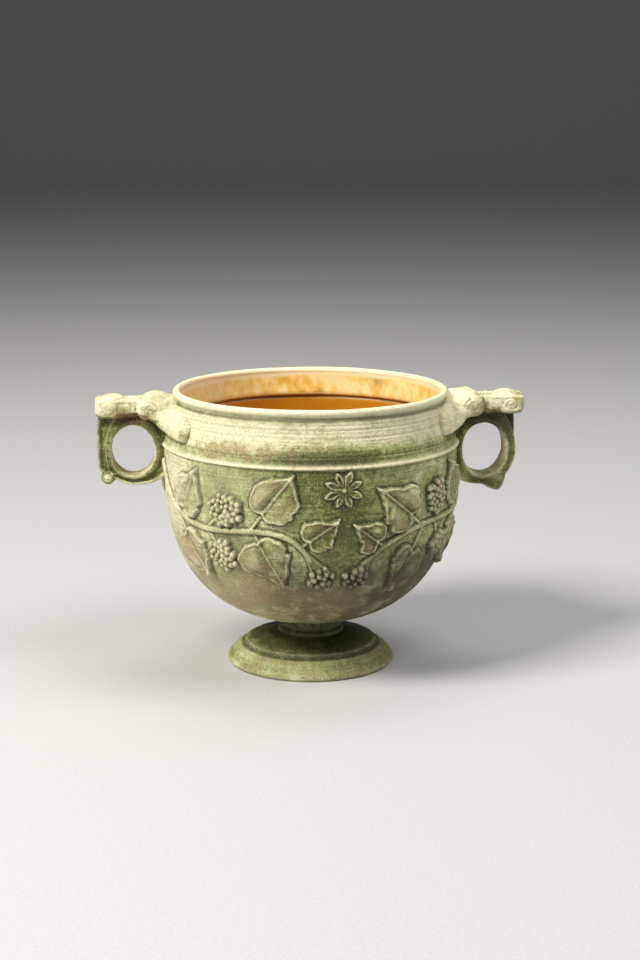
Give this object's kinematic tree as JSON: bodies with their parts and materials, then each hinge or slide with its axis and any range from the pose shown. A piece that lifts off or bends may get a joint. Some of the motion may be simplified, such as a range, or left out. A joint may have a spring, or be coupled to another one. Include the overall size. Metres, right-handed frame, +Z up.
{
  "type": "skyphos",
  "caption": "Footed drinking cup with ring handles and thumb plates, moulded ivy frieze, weathered green and amber lead glaze",
  "frame": {"origin": "middle of the foot's resting ring, on the surface that the cup stands on", "axes": "+Z up along the axis of turning, +X through the right handle, -Y through the front of the frieze"},
  "size_m": [0.1898, 0.1334, 0.125],
  "materials": {
    "lead_glaze": "weathered matte green lead glaze outside, amber lead glaze inside, over buff clay"
  },
  "bodies": {
    "root": {"skyphos": "lead_glaze"}
  },
  "joints": []
}
